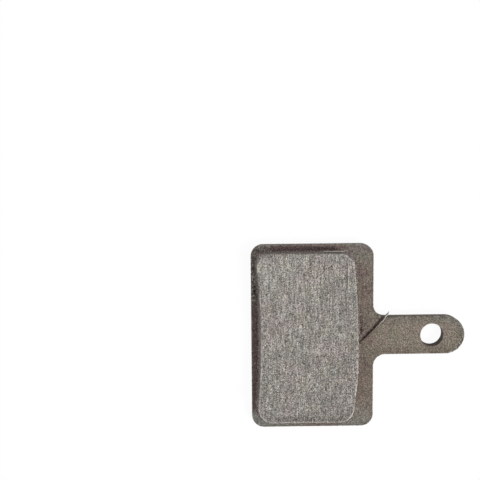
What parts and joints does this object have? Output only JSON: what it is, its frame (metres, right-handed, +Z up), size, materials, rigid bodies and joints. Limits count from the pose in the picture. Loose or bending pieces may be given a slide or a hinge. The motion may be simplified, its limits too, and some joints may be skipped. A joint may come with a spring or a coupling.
{
  "type": "bicycle disc brake pad",
  "caption": "Disc brake pad: a flat painted steel backing plate with a round-ended tab and a pin hole, and a moulded friction lining keyed into the plate.",
  "frame": {"origin": "on the pin hole's axis at the plate's back face", "axes": "+X along the tab, away from the body; +Y across the tab, along the pad's long side; +Z up, the way the friction face looks"},
  "size_m": [0.0335, 0.029, 0.004],
  "materials": {
    "painted_plate": "satin",
    "friction_compound": "matte"
  },
  "bodies": {
    "root": {"backing_plate": "painted_plate", "friction_lining": "friction_compound"}
  },
  "joints": []
}
